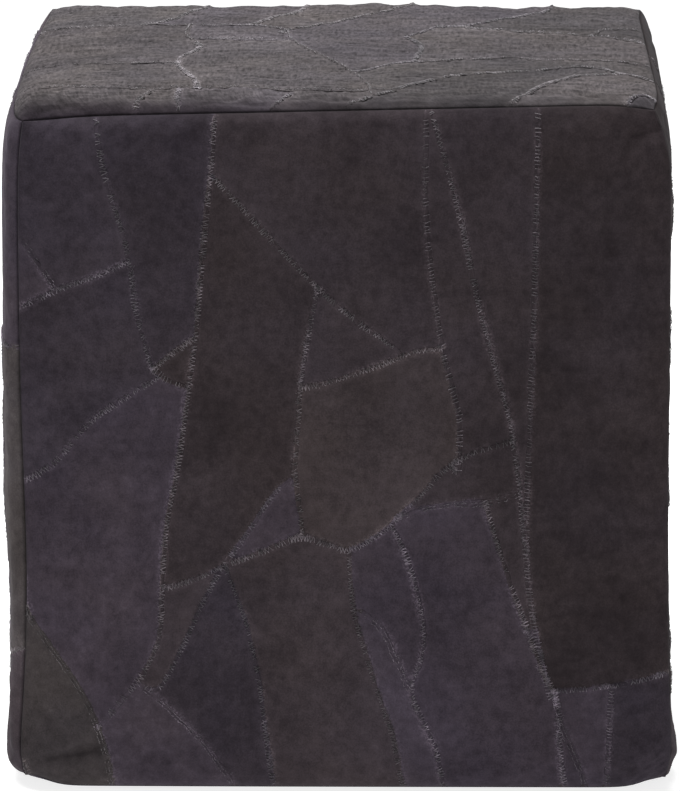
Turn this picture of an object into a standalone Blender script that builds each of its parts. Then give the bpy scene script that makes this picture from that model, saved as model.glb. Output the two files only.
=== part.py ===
"""Cube pouf stool: one filled cushion solid in metres, +Z up, with its front at -Y.

Six panels meet at twelve drawn-in seams. Each panel rolls up from its seams to a plateau and
crowns a little more towards its middle. The base is flat on the floor at z = 0, and the origin
is on the floor under the middle of the pouf.
"""

import math

import bmesh
import bpy
from mathutils import Vector

# Driving dimensions, in metres.
WIDTH = 0.4235  # between the upright seams, left to right
DEPTH = 0.410  # between the upright seams, front to back
TOP_PLANE = 0.4615  # height of the top panel where it has rolled over from its seams
TOP_SEAM = 0.4555  # height of the seams round the top panel, half-way from front to back
TOP_SEAM_TILT = 0.0025  # the cover has slid back, so its front top seam is lower, its rear one higher
FRONT_SEAM_CLIMB = 0.0045  # the front top seam also climbs, from this much too low at its left end
BASE_SEAM = 0.0025  # height of the four seams round the base panel, which is almost on the floor
PANEL_MIDDLE = 0.23175  # the height from which swells and folds on the sides are measured

# The cover is drawn in at the top and base seams, and the filling has settled a little.
TOP_PINCH = 0.003  # how far the top seams stand inside the upright ones
TOP_PINCH_REACH = 0.012
RIGHT_TOP_PINCH = 0.0035  # how much further inside the right one stands
LEFT_TOP_BOW = 0.0105  # how far the left one bows out instead, which it does mostly in front
LEFT_TOP_BOW_FALL = 2.2  # the power of the share of the depth by which it comes back in
LEFT_TOP_BOW_START = 0.008  # how soon behind the front corner it bows out
BASE_PINCH = 0.002
BASE_PINCH_REACH = 0.008
BASE_CORNER_REACH = 0.024  # how far in from its corners the base comes down to the floor
SETTLED_FLARE = 0.005  # how far the lower part spreads on each side
FLARE_REACH = 0.220

# The upright seams are drawn in further in places, mostly at their ends by bunched allowances.
# Side and end say which seam, height where on it from 0 at the base to 1 at the top, pull how far
# that place moves towards the middle, drop how far it sags, and reach how far around it follows.
DRAWN_IN = (
    dict(side=1, end=-1, height=1.0, pull=0.004, drop=0.005, reach=0.026),
    dict(side=-1, end=-1, height=1.0, pull=0.002, drop=0.003, reach=0.034),
    dict(side=-1, end=1, height=1.0, pull=-0.002, drop=0.0, reach=0.030),
    dict(side=1, end=1, height=1.0, pull=-0.002, drop=0.0, reach=0.030),
    dict(side=1, end=-1, height=0.0, pull=0.003, drop=-0.0065, reach=0.018),
    dict(side=-1, end=-1, height=0.0, pull=0.003, drop=-0.0065, reach=0.018),
    dict(side=-1, end=1, height=0.0, pull=0.004, drop=-0.0050, reach=0.020),
    dict(side=1, end=1, height=0.0, pull=0.005, drop=-0.0050, reach=0.020),
    dict(side=-1, end=-1, height=0.26, pull=0.004, drop=0.0, reach=0.110),
)

CELLS = 28  # faces along each side of each panel
EDGE_CROWDING = 0.93  # 0 spaces the cells evenly, 1 crowds them into the seams

# Each panel, seen square on with its own left, right, foot and head edges. Plateau is how far
# it stands out from its seams, crown how much further its middle goes, and each reach how far
# from that edge the plateau is met: a short reach is a tight roll, a long one a gentle slope.
# The top rises to its plane and the base falls to the floor, so those two state no plateau.
PANELS = {
    "front": dict(plateau=0.008, crown=0.007, left=0.060, right=0.014, foot=0.012, head=0.030),
    "right": dict(plateau=-0.0015, crown=0.005, left=0.070, right=0.014, foot=0.004, head=0.012),
    "back": dict(plateau=0.008, crown=0.007, left=0.050, right=0.014, foot=0.020, head=0.026),
    "left": dict(plateau=0.008, crown=0.008, left=0.050, right=0.012, foot=0.012, head=0.014),
    "top": dict(crown=0.003, left=0.013, right=0.012, foot=0.022, head=0.010),
    "base": dict(crown=0.0, left=0.014, right=0.014, foot=0.014, head=0.014),
}

# Where the filling pushes out or falls away: metres across and up from the panel's middle.
SWELLS = (
    dict(panel="front", across=-0.115, up=0.060, reach=0.070, rise=0.0020),
    dict(panel="front", across=0.120, up=0.040, reach=0.080, rise=-0.0020),
    dict(panel="front", across=0.188, up=0.206, reach=0.014, rise=-0.0030),
    dict(panel="front", across=-0.165, up=-0.195, reach=0.030, rise=0.0030),
    dict(panel="front", across=0.060, up=-0.130, reach=0.075, rise=0.0020),
    dict(panel="right", across=-0.165, up=-0.216, reach=0.024, rise=0.0060),
    dict(panel="right", across=-0.120, up=0.170, reach=0.050, rise=0.0015),
    dict(panel="right", across=0.030, up=0.195, reach=0.090, rise=0.0030),
    dict(panel="right", across=0.150, up=0.200, reach=0.060, rise=0.0042),
    dict(panel="right", across=0.060, up=-0.050, reach=0.090, rise=-0.0030),
    dict(panel="left", across=0.130, up=0.165, reach=0.060, rise=0.0010),
    dict(panel="left", across=0.130, up=-0.035, reach=0.055, rise=0.0025),
    dict(panel="left", across=0.130, up=-0.160, reach=0.050, rise=-0.0030),
    dict(panel="left", across=0.160, up=-0.205, reach=0.026, rise=0.0015),
    dict(panel="left", across=-0.060, up=-0.020, reach=0.085, rise=-0.0010),
    dict(panel="back", across=0.090, up=-0.080, reach=0.080, rise=0.0030),
    dict(panel="back", across=-0.100, up=0.110, reach=0.070, rise=-0.0020),
    dict(panel="top", across=-0.060, up=0.040, reach=0.080, rise=0.0020),
    dict(panel="top", across=0.110, up=-0.060, reach=0.070, rise=-0.0020),
    dict(panel="top", across=0.025, up=0.165, reach=0.050, rise=0.0030),
)

# The main creases, from one end to the other, in metres from the panel's middle. Width is how
# far from its line a crease has faded to a third, and rise is below 0 for a trough.
FOLDS = (
    dict(panel="front", start=(-0.192, -0.208), end=(-0.150, -0.195), width=0.006, rise=-0.0030),
    dict(panel="front", start=(0.176, -0.211), end=(0.203, -0.193), width=0.006, rise=0.0025),
    dict(panel="front", start=(0.186, 0.204), end=(0.206, 0.211), width=0.005, rise=-0.0030),
    dict(panel="front", start=(-0.203, 0.150), end=(-0.196, -0.120), width=0.008, rise=-0.0012),
    dict(panel="right", start=(-0.202, -0.201), end=(-0.150, -0.214), width=0.007, rise=0.0025),
    dict(panel="right", start=(-0.198, -0.165), end=(-0.168, -0.219), width=0.005, rise=-0.0030),
    dict(panel="right", start=(0.200, 0.180), end=(0.140, 0.210), width=0.008, rise=-0.0025),
    dict(panel="back", start=(-0.198, -0.205), end=(-0.145, -0.185), width=0.008, rise=-0.0030),
    dict(panel="back", start=(0.200, 0.195), end=(0.150, 0.210), width=0.007, rise=-0.0025),
    dict(panel="left", start=(0.200, -0.210), end=(0.160, -0.185), width=0.007, rise=-0.0030),
    dict(panel="left", start=(-0.200, 0.185), end=(-0.150, 0.211), width=0.008, rise=-0.0025),
    dict(panel="top", start=(-0.203, -0.186), end=(0.040, -0.188), width=0.007, rise=-0.0012),
    dict(panel="top", start=(0.120, 0.000), end=(0.160, -0.010), width=0.014, rise=-0.0020),
    dict(panel="top", start=(0.020, 0.010), end=(0.065, 0.015), width=0.014, rise=-0.0020),
    dict(panel="top", start=(-0.203, -0.020), end=(-0.100, -0.022), width=0.012, rise=-0.0020),
)

# Which way each panel faces, and which way its own left-to-right and foot-to-head run.
FACING = {
    "front": dict(out=Vector((0, -1, 0)), across=Vector((1, 0, 0)), up=Vector((0, 0, 1))),
    "right": dict(out=Vector((1, 0, 0)), across=Vector((0, 1, 0)), up=Vector((0, 0, 1))),
    "back": dict(out=Vector((0, 1, 0)), across=Vector((-1, 0, 0)), up=Vector((0, 0, 1))),
    "left": dict(out=Vector((-1, 0, 0)), across=Vector((0, -1, 0)), up=Vector((0, 0, 1))),
    "top": dict(out=Vector((0, 0, 1)), across=Vector((1, 0, 0)), up=Vector((0, 1, 0))),
    "base": dict(out=Vector((0, 0, -1)), across=Vector((1, 0, 0)), up=Vector((0, -1, 0))),
}


def clear_scene():
    for obj in list(bpy.data.objects):
        bpy.data.objects.remove(obj, do_unlink=True)


def suede_material():
    material = bpy.data.materials.new("charcoal suede")
    material.use_nodes = True
    shader = material.node_tree.nodes["Principled BSDF"]
    shader.inputs["Base Color"].default_value = (0.041, 0.034, 0.036, 1.0)
    shader.inputs["Roughness"].default_value = 0.92
    shader.inputs["Metallic"].default_value = 0.0
    return material


def crowded(t):
    """t from -1 to 1, moved towards the ends so that the cells are small beside the seams."""
    quarter = math.pi / 2 * EDGE_CROWDING
    return math.sin(t * quarter) / math.sin(quarter)


def left_bow(height, towards_rear):
    """How far the left top seam takes the cover outwards at this height."""
    rear_share = (towards_rear + 1) / 2
    started = 1 - math.exp(-rear_share * DEPTH / LEFT_TOP_BOW_START)
    bow = LEFT_TOP_BOW * (1 - rear_share**LEFT_TOP_BOW_FALL) * started
    return bow * math.exp(-(TOP_SEAM - height) / TOP_PINCH_REACH)


def seam_limits(height, towards_rear):
    """The least and greatest corner of the box that the seams outline at this height."""
    below_top = TOP_SEAM - height
    above_base = height - BASE_SEAM
    near_top = math.exp(-below_top / TOP_PINCH_REACH)
    near_base = math.exp(-above_base / BASE_PINCH_REACH)
    flare = SETTLED_FLARE * max(0.0, 1 - above_base / FLARE_REACH) ** 2
    spread = flare - TOP_PINCH * near_top - BASE_PINCH * near_base
    left = WIDTH / 2 + spread + left_bow(height, towards_rear)
    right = WIDTH / 2 + spread - RIGHT_TOP_PINCH * near_top
    deep = DEPTH / 2 + spread
    return Vector((-left, -deep, BASE_SEAM)), Vector((right, deep, TOP_SEAM))


def on_seam_box(cube_point):
    """The point of the box that the twelve seams outline, for a point of the cube from -1 to 1."""
    towards_rear, towards_right = crowded(cube_point.y), crowded(cube_point.x)
    climb = FRONT_SEAM_CLIMB * towards_right * (1 - towards_rear) / 2
    top_seam = TOP_SEAM + TOP_SEAM_TILT * towards_rear + climb
    height = BASE_SEAM + (top_seam - BASE_SEAM) * (crowded(cube_point.z) + 1) / 2
    least, greatest = seam_limits(height, towards_rear)
    x = towards_right * (greatest.x if towards_right > 0 else -least.x)
    y = towards_rear * greatest.y
    return drawn_in(Vector((x, y, height)))


def drawn_in(place):
    moved = place.copy()
    for row in DRAWN_IN:
        height = BASE_SEAM + (TOP_SEAM - BASE_SEAM) * row["height"]
        middle = Vector((row["side"] * WIDTH / 2, row["end"] * DEPTH / 2, height))
        follows = math.exp(-(((place - middle).length / row["reach"]) ** 2))
        moved.x -= row["side"] * row["pull"] * follows
        moved.y -= row["end"] * row["pull"] * follows
        moved.z -= row["drop"] * follows
    return moved


def roll(distance, reach):
    """A quarter round from 0 at the seam to 1 at its reach."""
    left_to_go = 1 - min(max(distance / reach, 0.0), 1.0)
    return math.sqrt(1 - left_to_go**2)


def fold_at(fold, across, up):
    """How far this crease lifts the cover here: full on its line, fading beside it and past it."""
    start, end, here = Vector(fold["start"]), Vector(fold["end"]), Vector((across, up))
    along = (here - start).dot(end - start) / (end - start).length_squared
    nearest = start.lerp(end, min(max(along, 0.0), 1.0))
    off = (here - nearest).length / fold["width"]
    return fold["rise"] * math.exp(-(off**2))


def unevenness_of(panel, across, up):
    """Swells and folds together."""
    rise = sum(fold_at(fold, across, up) for fold in FOLDS if fold["panel"] == panel)
    for swell in SWELLS:
        if swell["panel"] == panel:
            off = math.hypot(across - swell["across"], up - swell["up"]) / swell["reach"]
            rise += swell["rise"] * math.exp(-(off**2))
    return rise


def plateau_of(panel, place, towards_rear):
    if panel == "top":
        return TOP_PLANE - place.z
    if panel == "base":
        return place.z
    if panel == "left":
        return PANELS[panel]["plateau"] - left_bow(place.z, towards_rear)
    return PANELS[panel]["plateau"]


def to_edges(place, way, least, greatest):
    """How far it is from here to the two edges of a panel that lie along this way."""
    ends = sorted((least.dot(way), greatest.dot(way)))
    return place.dot(way) - ends[0], ends[1] - place.dot(way)


def rise_of(panel, place, towards_rear):
    """How far the panel stands out from the box that its seams outline."""
    shape, way = PANELS[panel], FACING[panel]
    least, greatest = seam_limits(place.z, towards_rear)
    left, right = to_edges(place, way["across"], least, greatest)
    foot, head = to_edges(place, way["up"], least, greatest)
    rolls = (
        roll(left, shape["left"])
        * roll(right, shape["right"])
        * roll(foot, shape["foot"])
        * roll(head, shape["head"])
    )
    dome = (1 - ((left - right) / (left + right)) ** 2) * (1 - ((foot - head) / (foot + head)) ** 2)
    crown = shape["crown"] * math.sqrt(max(dome, 0.0))
    if panel == "base":
        from_corner = math.hypot(min(left, right), min(foot, head))
        rolls *= 1 - math.exp(-((from_corner / BASE_CORNER_REACH) ** 2))
    flat = place - Vector((0, 0, PANEL_MIDDLE))
    uneven = unevenness_of(panel, flat.dot(way["across"]), flat.dot(way["up"]))
    return (plateau_of(panel, place, towards_rear) + crown + uneven) * rolls


def panel_of(cube_point):
    """The panel whose middle this point of the cube faces, or None on a seam."""
    for name, way in FACING.items():
        edge = max(abs(cube_point.dot(way["across"])), abs(cube_point.dot(way["up"])))
        if cube_point.dot(way["out"]) > 0.9999 and edge < 0.9999:
            return name
    return None


def pouf_point(cube_point):
    place = on_seam_box(cube_point)
    panel = panel_of(cube_point)
    if panel is None:
        return place
    return place + FACING[panel]["out"] * rise_of(panel, place, crowded(cube_point.y))


def make_pouf(collection, material):
    mesh = bpy.data.meshes.new("pouf")
    form = bmesh.new()
    bmesh.ops.create_cube(form, size=2.0)
    bmesh.ops.subdivide_edges(form, edges=form.edges[:], cuts=CELLS - 1, use_grid_fill=True)
    for vertex in form.verts:
        vertex.co = pouf_point(vertex.co)
    centre_over_origin(form)
    bmesh.ops.recalc_face_normals(form, faces=form.faces[:])
    form.to_mesh(mesh)
    form.free()
    mesh.materials.append(material)
    mesh.shade_smooth()
    pouf = bpy.data.objects.new("pouf", mesh)
    collection.objects.link(pouf)
    return pouf


def centre_over_origin(form):
    """The sides bulge unequally, so the pouf is slid until its outline is centred."""
    for axis in (0, 1):
        low = min(vertex.co[axis] for vertex in form.verts)
        high = max(vertex.co[axis] for vertex in form.verts)
        for vertex in form.verts:
            vertex.co[axis] -= (low + high) / 2


def main():
    clear_scene()
    collection = bpy.data.collections.new("cube pouf stool")
    bpy.context.scene.collection.children.link(collection)
    make_pouf(collection, suede_material())


main()
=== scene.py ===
import math
import random

import bmesh
import bpy
import numpy as np
from mathutils import Matrix, Vector, kdtree
from mathutils.bvhtree import BVHTree


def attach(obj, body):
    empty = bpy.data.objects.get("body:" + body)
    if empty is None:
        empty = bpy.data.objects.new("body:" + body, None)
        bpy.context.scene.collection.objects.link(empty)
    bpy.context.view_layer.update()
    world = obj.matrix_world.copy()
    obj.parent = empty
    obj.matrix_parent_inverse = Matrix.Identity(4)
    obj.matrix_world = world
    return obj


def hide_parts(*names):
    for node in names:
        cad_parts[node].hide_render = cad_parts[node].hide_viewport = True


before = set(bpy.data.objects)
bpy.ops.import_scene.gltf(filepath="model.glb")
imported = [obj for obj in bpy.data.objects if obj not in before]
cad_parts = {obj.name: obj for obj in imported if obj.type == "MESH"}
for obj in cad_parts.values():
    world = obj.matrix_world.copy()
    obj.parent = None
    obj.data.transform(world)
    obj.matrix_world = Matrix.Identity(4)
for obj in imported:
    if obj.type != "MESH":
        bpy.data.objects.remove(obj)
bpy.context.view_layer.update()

mm = 0.001


def addObject(name, data):
    item = bpy.data.objects.new(name, data)
    bpy.context.scene.collection.objects.link(item)
    return item


def meshOf(form, name):
    mesh = bpy.data.meshes.new(name)
    form.to_mesh(mesh)
    form.free()
    return mesh


def coordinates(mesh):
    values = np.empty(len(mesh.vertices) * 3, np.float32)
    mesh.vertices.foreach_get("co", values)
    return values.reshape(-1, 3).astype(float)


def surfaceTree(mesh):
    faces = [face.vertices[:] for face in mesh.polygons]
    return BVHTree.FromPolygons([vertex.co[:] for vertex in mesh.vertices], faces)


def pointTree(points):
    tree = kdtree.KDTree(len(points))
    for number, point in enumerate(points):
        tree.insert(point, number)
    tree.balance()
    return tree


def near(distance, reach):
    # 1 at no distance, fading softly to 0
    return np.exp(-(distance / reach) ** 2)


def addNode(tree, kind, sockets, output=0, **settings):
    # each socket takes a number, a colour or what another node gives
    node = tree.nodes.new("ShaderNode" + kind)
    for key, value in settings.items():
        setattr(node, key, value)
    for slot, value in sockets.items():
        if isinstance(value, bpy.types.NodeSocket):
            tree.links.new(value, node.inputs[slot])
        else:
            node.inputs[slot].default_value = value
    return node.outputs[output]


def newMaterial(name, finish):
    material = bpy.data.materials.new(name)
    material.use_nodes = True
    shader = material.node_tree.nodes["Principled BSDF"]
    for slot, value in finish.items():
        shader.inputs[slot].default_value = value
    return material, material.node_tree, shader


# camera, floor and light

shot = dict(
    distance=4.439,  # metres from the lens to the point it looks at
    pitch=11.95,  # degrees down
    turn=0.525,  # degrees round to the right of square on
    aimAcross=-0.002,
    aimHeight=0.222,
    sensor=36,  # mm, along the picture's height
    lens=295.8,
    farthest=60,
)

studio = dict(
    floorSize=14.0,
    # a lit white table, so that it stays even far behind the pouf
    floor={"Base Color": (0.45, 0.45, 0.45, 1), "Roughness": 0.9,
           "Emission Color": (1, 1, 1, 1), "Emission Strength": 0.80},
    white=(1.0, 1.0, 1.0, 1),
    worldLight=0.27,  # of the white surroundings on the pouf
    lampSize=2.0,
    # each lamp's power, its place and where it points
    lamps=dict(
        overhead=(120.0, (-0.35, 0.45, 2.3), (0.0, 0.0, 0.4)),
        front=(3.0, (-1.2, -3.0, 1.6), (0.0, 0.0, 0.2)),
    ),
)


def makeCamera():
    camera = addObject("camera", bpy.data.cameras.new("camera"))
    camera.data.lens = shot["lens"]
    camera.data.sensor_width = shot["sensor"]
    camera.data.clip_end = shot["farthest"]
    distance, pitch, turn = shot["distance"], math.radians(shot["pitch"]), math.radians(shot["turn"])
    height = shot["aimHeight"] + distance * math.sin(pitch)
    place = Vector((shot["aimAcross"], -distance * math.cos(pitch), height))
    camera.location = Matrix.Rotation(turn, 4, "Z") @ place
    camera.rotation_euler = (math.pi / 2 - pitch, 0, turn)
    bpy.context.scene.camera = camera


def makeFloor():
    form = bmesh.new()
    bmesh.ops.create_grid(form, x_segments=1, y_segments=1, size=studio["floorSize"] / 2)
    floor = addObject("floor", meshOf(form, "floor"))
    floor.data.materials.append(newMaterial("pale floor", studio["floor"])[0])


def makeLamps():
    for name, (power, place, aim) in studio["lamps"].items():
        lamp = bpy.data.lights.new(name, "AREA")
        lamp.shape = "SQUARE"
        lamp.size = studio["lampSize"]
        lamp.energy = power
        light = addObject(name, lamp)
        light.location = place
        light.rotation_euler = (Vector(aim) - Vector(place)).to_track_quat("-Z", "Y").to_euler()


def makeWorld():
    # white behind the pouf, but dimmer as a light, so that its sides keep their depth
    world = bpy.data.worlds.new("studio")
    bpy.context.scene.world = world
    world.use_nodes = True
    tree = world.node_tree
    tree.nodes.remove(tree.nodes["Background"])
    lit, seen = (addNode(tree, "Background", {"Color": studio["white"], "Strength": strength})
                 for strength in (studio["worldLight"], 1.0))
    toCamera = addNode(tree, "LightPath", {}, "Is Camera Ray")
    mix = addNode(tree, "MixShader", {0: toCamera, 1: lit, 2: seen})
    tree.links.new(mix, tree.nodes["World Output"].inputs["Surface"])
    bpy.context.scene.view_settings.view_transform = "Standard"


makeCamera()
makeFloor()
makeWorld()
makeLamps()
print("stage: camera, floor and light are set")

# the box that the closed seams outline

cover = dict(
    width=0.4235,  # between the upright seams
    depth=0.410,
    topSeam=0.4555,  # height of the top seams, half-way from front to back
    topSeamTilt=0.0025,
    frontSeamClimb=0.0045,
    baseSeam=0.0025,
    panelMiddle=(0.0011, 0.0, 0.23175),  # where places on the panels are measured from
    topPinch=0.003,
    topPinchReach=0.012,
    rightTopPinch=0.0035,
    leftTopBow=0.0105,  # the left top seam bows out, mostly in front
    leftTopBowFall=2.2,
    leftTopBowStart=0.008,
    basePinch=0.002,
    basePinchReach=0.008,
    flare=0.005,
    flareReach=0.220,
    slide=(0.0026, -0.0002),  # the outline's middle is over the origin
    # side, end, height from 0 to 1, pull, drop, reach
    drawnIn=(
        (1, -1, 1, 0.004, 0.005, 0.026), (-1, -1, 1, 0.002, 0.003, 0.034),
        (-1, 1, 1, -0.002, 0.0, 0.030), (1, 1, 1, -0.002, 0.0, 0.030),
        (1, -1, 0, 0.003, -0.0065, 0.018), (-1, -1, 0, 0.003, -0.0065, 0.018),
        (-1, 1, 0, 0.004, -0.0050, 0.020), (1, 1, 0, 0.005, -0.0050, 0.020),
        (-1, -1, 0.26, 0.004, 0.0, 0.110),
    ),
)

weave = dict(
    cells=64,  # cage faces along each side of each panel
    crowding=0.65,  # 0 spaces them evenly, 1 crowds them into the seams
    startInside=0.02,  # how far inside the rays to the solid start
    smoothings=5,  # of the solid's own facets
    finer=dict(front=4, top=4, right=3, left=3, back=3, base=1),
)

# which way each panel faces, and which way its own left-to-right and foot-to-head run
facing = dict(
    front=((0, -1, 0), (1, 0, 0), (0, 0, 1)),
    right=((1, 0, 0), (0, 1, 0), (0, 0, 1)),
    back=((0, 1, 0), (-1, 0, 0), (0, 0, 1)),
    left=((-1, 0, 0), (0, -1, 0), (0, 0, 1)),
    top=((0, 0, 1), (1, 0, 0), (0, 1, 0)),
    base=((0, 0, -1), (1, 0, 0), (0, -1, 0)),
)
facing = {name: np.array(ways, float) for name, ways in facing.items()}
middle = np.array(cover["panelMiddle"])


def crowded(t):
    quarter = math.pi / 2 * weave["crowding"]
    return np.sin(t * quarter) / math.sin(quarter)


def seamBox(cube):
    # points of the cube from -1 to 1, moved to where the cover's seams put them
    right, rear, high = crowded(cube).T
    rise = cover["topSeam"] - cover["baseSeam"]
    climb = cover["frontSeamClimb"] * right * (1 - rear) / 2
    topSeam = cover["topSeam"] + cover["topSeamTilt"] * rear + climb
    height = cover["baseSeam"] + (topSeam - cover["baseSeam"]) * (high + 1) / 2
    nearTop = np.exp(-(cover["topSeam"] - height) / cover["topPinchReach"])
    aboveBase = height - cover["baseSeam"]
    spread = (cover["flare"] * np.maximum(0, 1 - aboveBase / cover["flareReach"]) ** 2
              - cover["topPinch"] * nearTop
              - cover["basePinch"] * np.exp(-aboveBase / cover["basePinchReach"]))
    rearShare = np.clip((rear + 1) / 2, 0, 1)
    bow = cover["leftTopBow"] * (1 - rearShare ** cover["leftTopBowFall"])
    bow = bow * (1 - np.exp(-rearShare * cover["depth"] / cover["leftTopBowStart"]))
    outwards = np.where(right > 0, -cover["rightTopPinch"], bow) * nearTop
    x = right * (cover["width"] / 2 + spread + outwards)
    place = np.stack((x, rear * (cover["depth"] / 2 + spread), height), 1)
    moved = place.copy()
    for side, end, share, pull, drop, reach in cover["drawnIn"]:
        spot = (side * cover["width"] / 2, end * cover["depth"] / 2, cover["baseSeam"] + rise * share)
        follows = np.exp(-(((place - spot) ** 2).sum(1) / reach**2))
        moved -= follows[:, None] * (side * pull, end * pull, drop)
    moved[:, :2] += cover["slide"]
    return moved


def panelRows(cube, name):
    # the numbers of the cage's points on this panel, as rows from foot to head
    out, across, up = facing[name]
    cells = weave["cells"]
    on = np.flatnonzero(cube @ out > 0.9999)
    column, row = (np.rint((cube[on] @ way + 1) / 2 * cells).astype(int) for way in (across, up))
    rows = np.empty((cells + 1, cells + 1), int)
    rows[row, column] = on
    return rows


def makeCage():
    form = bmesh.new()
    bmesh.ops.create_cube(form, size=2)
    bmesh.ops.subdivide_edges(form, edges=form.edges[:], cuts=weave["cells"] - 1, use_grid_fill=True)
    return addObject("cage", meshOf(form, "cage"))


def wrapSolid(cage, solid):
    # the cage's points go out from the seam box to the CAD solid's surface
    cube = coordinates(cage.data)
    box = seamBox(cube)
    place = box.copy()
    tree = surfaceTree(solid.data)
    inside = weave["startInside"]
    for name, (out, _, _) in facing.items():
        rows = panelRows(cube, name)
        rise = np.zeros(rows.shape)
        for spot in np.ndindex(rows.shape):
            if 0 < min(spot) and max(spot) < weave["cells"]:
                start = box[rows[spot]] - out * inside
                hit = tree.ray_cast(start, out)[0]
                rise[spot] = (Vector(start) - hit).length - inside if hit else 0
        for _ in range(weave["smoothings"]):
            mean = (rise[:-2, 1:-1] + rise[2:, 1:-1] + rise[1:-1, :-2] + rise[1:-1, 2:]) / 4
            rise[1:-1, 1:-1] = 0.5 * rise[1:-1, 1:-1] + 0.5 * mean
        place[rows] = box[rows] + rise[:, :, None] * out
    return cube, place


cage = makeCage()
cube, surface = wrapSolid(cage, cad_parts["pouf"])
print("stage: the cage is wrapped round the solid")

# cloth: the loose cover crumples a little between its seams

crumple = dict(
    frames=20,
    held=0.06,  # how firmly the filling backs the cloth, where a seam is 1
    shake=0.15 * mm,
    cloth=dict(
        quality=4,
        mass=0.25,
        tension_stiffness=18.0,
        compression_stiffness=18.0,
        shear_stiffness=6.0,
        bending_stiffness=0.4,
        vertex_group_mass="held",
        pin_stiffness=1.0,
        use_pressure=True,
        uniform_pressure_force=4.0,
        shrink_min=-0.022,  # how much larger the cloth is cut than the form it covers
    ),
    swelling=4.0,  # in cells: wider waves than this are left out
    seamReach=1.5,  # in cells
    most=4.5 * mm,  # the furthest that a point may move
    # how much of its wrinkles each panel keeps
    gain=dict(front=0.50, right=0.30, left=0.25, back=0.45, top=0.40),
    seed=7,
)


def blurred(values, reach):
    # a gaussian over rows and columns of the cage, with reach in cells
    size = int(3 * reach)
    kernel = np.exp(-0.5 * (np.arange(-size, size + 1) / reach) ** 2)
    kernel /= kernel.sum()
    for axis in (0, 1):
        line = np.moveaxis(values, axis, 0)
        padded = np.concatenate([np.repeat(line[:1], size, 0), line, np.repeat(line[-1:], size, 0)])
        line = sum(k * padded[n:n + len(line)] for n, k in enumerate(kernel))
        values = np.moveaxis(line, 0, axis)
    return values


def simulateCover(cage, cube, place):
    shaker = np.random.default_rng(crumple["seed"])
    inner = np.sort(np.abs(cube), axis=1)[:, 1] < 0.999
    start = place + inner[:, None] * shaker.normal(0, crumple["shake"], place.shape)
    cage.data.vertices.foreach_set("co", start.ravel())
    cage.data.update()
    group = cage.vertex_groups.new(name="held")
    soft = inner & (cube[:, 2] > -0.999)
    group.add(np.flatnonzero(~soft).tolist(), 1.0, "REPLACE")
    group.add(np.flatnonzero(soft).tolist(), crumple["held"], "REPLACE")
    cloth = cage.modifiers.new("cover", "CLOTH")
    for key, value in crumple["cloth"].items():
        setattr(cloth.settings, key, value)
    cloth.settings.effector_weights.gravity = 0
    cloth.collision_settings.use_collision = False
    cloth.point_cache.frame_end = crumple["frames"]
    for step in range(1, crumple["frames"] + 1):
        bpy.context.scene.frame_set(step)
    evaluated = cage.evaluated_get(bpy.context.evaluated_depsgraph_get())
    moved = coordinates(evaluated.to_mesh()) - place
    evaluated.to_mesh_clear()
    bpy.context.scene.frame_set(1)
    return moved


def crumpled(cage, cube, place):
    # only the wrinkles are kept, because the swelling is in the solid already
    moved = simulateCover(cage, cube, place)
    result = place.copy()
    fromEdge = np.arange(weave["cells"] + 1)
    fromEdge = np.minimum(fromEdge, fromEdge[::-1])
    window = 1 - near(np.minimum.outer(fromEdge, fromEdge), crumple["seamReach"])
    for name, gain in crumple["gain"].items():
        rows = panelRows(cube, name)
        shift = moved[rows]
        wrinkles = (shift - blurred(shift, crumple["swelling"])) * window[:, :, None] * gain
        length = np.linalg.norm(wrinkles, axis=2, keepdims=True)
        wrinkles *= np.minimum(1, crumple["most"] / np.maximum(length, 1e-9))
        result[rows] += wrinkles
    return result


surface = crumpled(cage, cube, surface)
bpy.data.objects.remove(cage)
print("stage: the cover is simulated")

# where the offcuts are joined

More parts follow.
